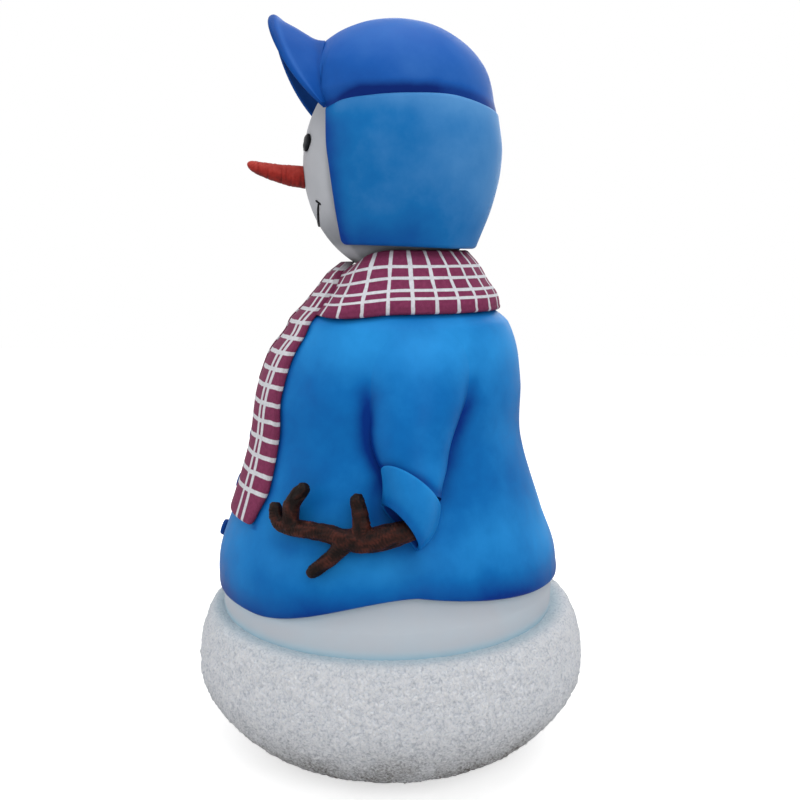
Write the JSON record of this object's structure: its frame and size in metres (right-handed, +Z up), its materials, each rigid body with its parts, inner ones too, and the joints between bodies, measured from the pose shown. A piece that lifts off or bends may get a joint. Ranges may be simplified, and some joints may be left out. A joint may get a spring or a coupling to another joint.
{
  "type": "cast display snowman",
  "caption": "Life-size cast resin snowman figure in a blue coat, hat and checked scarf, with a lift-off head, pull-out branch arms and carrot nose on a steel post.",
  "frame": {"origin": "on the floor under the middle of the snow base", "axes": "+Z up; the figure's front faces -Y and its left side is +X"},
  "size_m": [0.9836, 0.9834, 1.7923],
  "materials": {
    "snow_paint": "textured matt paint on cast resin",
    "belly_paint": "matt paint on cast resin",
    "coat_paint": "satin airbrushed paint on cast resin",
    "hood_paint": "satin airbrushed paint on cast resin",
    "crown_paint": "satin airbrushed paint on cast resin",
    "bill_paint": "satin airbrushed paint on cast resin",
    "button_paint": "satin paint on cast resin",
    "scarf_paint": "matt hand-painted checks on cast resin",
    "bark_paint": "satin paint on cast resin bark",
    "face_paint": "matt paint on cast resin",
    "coal_paint": "satin black paint on cast resin",
    "carrot_paint": "satin paint on cast resin",
    "plywood": "bare plywood",
    "frame_steel": "grey primer on mild steel",
    "zinc_steel": "zinc plated",
    "socket_pipe": "grey pipe",
    "dowel": "bare hardwood"
  },
  "bodies": {
    "torso": {"snow_base": "snow_paint", "base_board": "plywood", "anchor_inserts": "zinc_steel", "foot_bars": "frame_steel", "armature_post": "frame_steel", "frame_bolts": "zinc_steel", "frame_nuts": "zinc_steel", "flange_bolts": "zinc_steel", "flange_nuts": "zinc_steel", "belly_shell": "belly_paint", "coat_shell": "coat_paint", "neck_board": "plywood", "post_collar": "frame_steel", "left_sleeve": "coat_paint", "right_sleeve": "coat_paint", "left_cuff": "coat_paint", "right_cuff": "coat_paint", "left_arm_socket": "socket_pipe", "right_arm_socket": "socket_pipe", "coat_buttons": "button_paint", "scarf_wrap": "scarf_paint", "scarf_tail_long": "scarf_paint", "scarf_tail_short": "scarf_paint"},
    "head": {"head_shell": "face_paint", "head_floor": "plywood", "head_web": "plywood", "neck_sleeve": "socket_pipe", "nose_socket": "socket_pipe", "hat_crown": "crown_paint", "hat_ear_flaps": "hood_paint", "hat_bill": "bill_paint", "left_eye": "coal_paint", "right_eye": "coal_paint", "mouth_line": "coal_paint"},
    "nose": {"carrot_nose": "carrot_paint", "nose_peg": "dowel"},
    "left_arm": {"left_branch": "bark_paint", "left_arm_peg": "dowel"},
    "right_arm": {"right_branch": "bark_paint", "right_arm_peg": "dowel"}
  },
  "joints": [
    {"name": "head_lift", "type": "slide", "parent": "torso", "child": "head", "axis": [0, 0, 1], "range_m": [0, 0.16]},
    {"name": "left_arm_pull", "type": "slide", "parent": "torso", "child": "left_arm", "axis": [0.2468, -0.7595, -0.6018], "range_m": [0, 0.05]},
    {"name": "right_arm_pull", "type": "slide", "parent": "torso", "child": "right_arm", "axis": [-0.2468, -0.7595, -0.6018], "range_m": [0, 0.05]},
    {"name": "nose_pull", "type": "slide", "parent": "head", "child": "nose", "axis": [0.2074, -0.9758, 0.0698], "range_m": [0, 0.07]}
  ]
}
